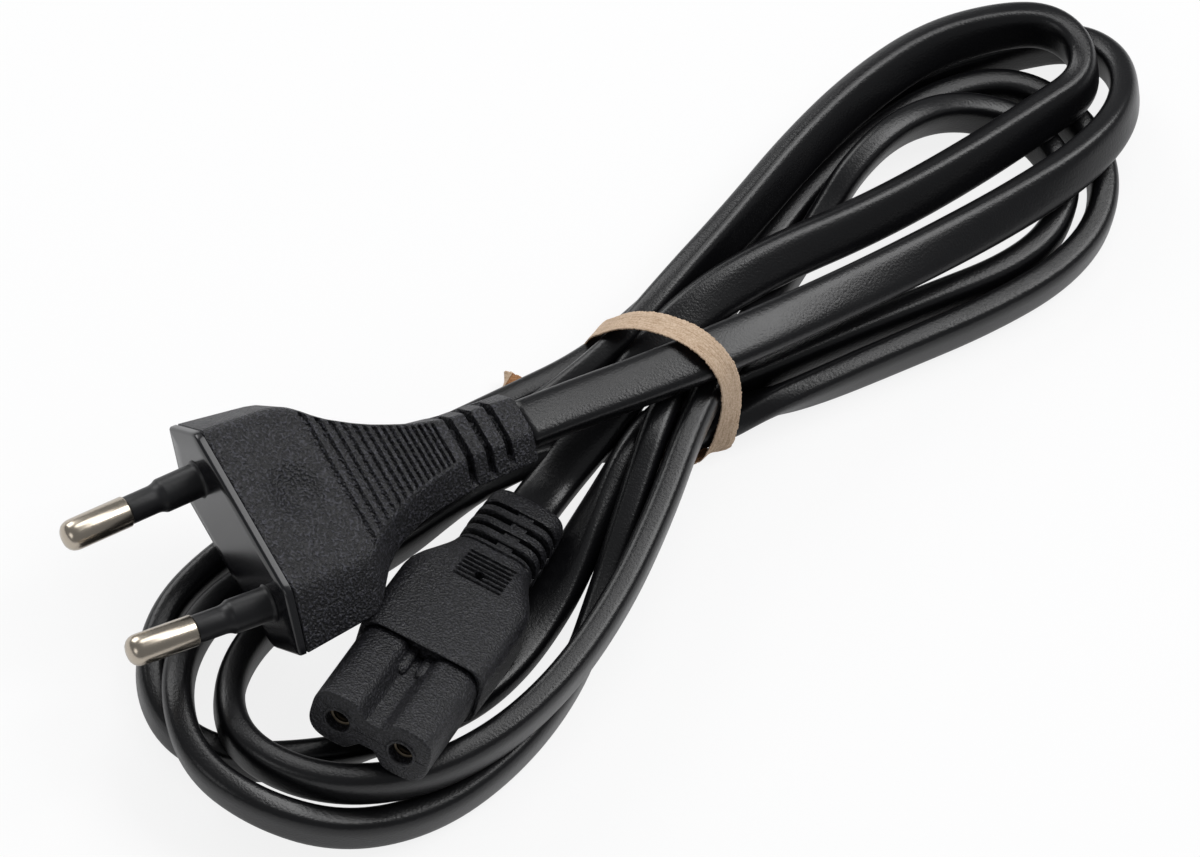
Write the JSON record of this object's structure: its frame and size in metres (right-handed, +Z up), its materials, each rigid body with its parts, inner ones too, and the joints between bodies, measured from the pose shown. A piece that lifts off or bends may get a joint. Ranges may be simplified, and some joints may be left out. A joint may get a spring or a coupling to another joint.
{
  "type": "figure eight power connector",
  "caption": "Power lead with a figure eight connector and a flat euro plug, its flat cord looped into a hank under a paper tie.",
  "frame": {"origin": "centre of the connector's mating face, between its two sockets", "axes": "+Z up from the table, +Y level and back along the connector towards its cord, +X across its two sockets"},
  "size_m": [0.091, 0.1591, 0.0254],
  "materials": {
    "connector_body": "moulded soft vinyl with a fine leathery grain",
    "plug_body": "moulded soft vinyl with a spark-eroded grain",
    "plug_face": "smooth moulded face",
    "sleeve": "smooth moulded sleeve",
    "nickel_pin": "nickel-plated brass, lightly brushed by use",
    "contact_metal": "rolled and tinned sheet",
    "brown_core": "extruded insulation",
    "blue_core": "extruded insulation",
    "cord_sheath": "extruded vinyl, satin",
    "tie_paper": "kraft paper strip, creased"
  },
  "bodies": {
    "root": {"connector_insert": "connector_body", "connector_overmould": "connector_body", "socket_contact_left": "contact_metal", "socket_contact_right": "contact_metal", "connector_core_left": "brown_core", "connector_core_right": "blue_core", "plug_bridge": "plug_face", "plug_overmould": "plug_body", "plug_pin_left": "nickel_pin", "plug_pin_right": "nickel_pin", "pin_sleeve_left": "sleeve", "pin_sleeve_right": "sleeve", "plug_core_left": "brown_core", "plug_core_right": "blue_core", "cord": "cord_sheath", "paper_tie": "tie_paper"}
  },
  "joints": []
}
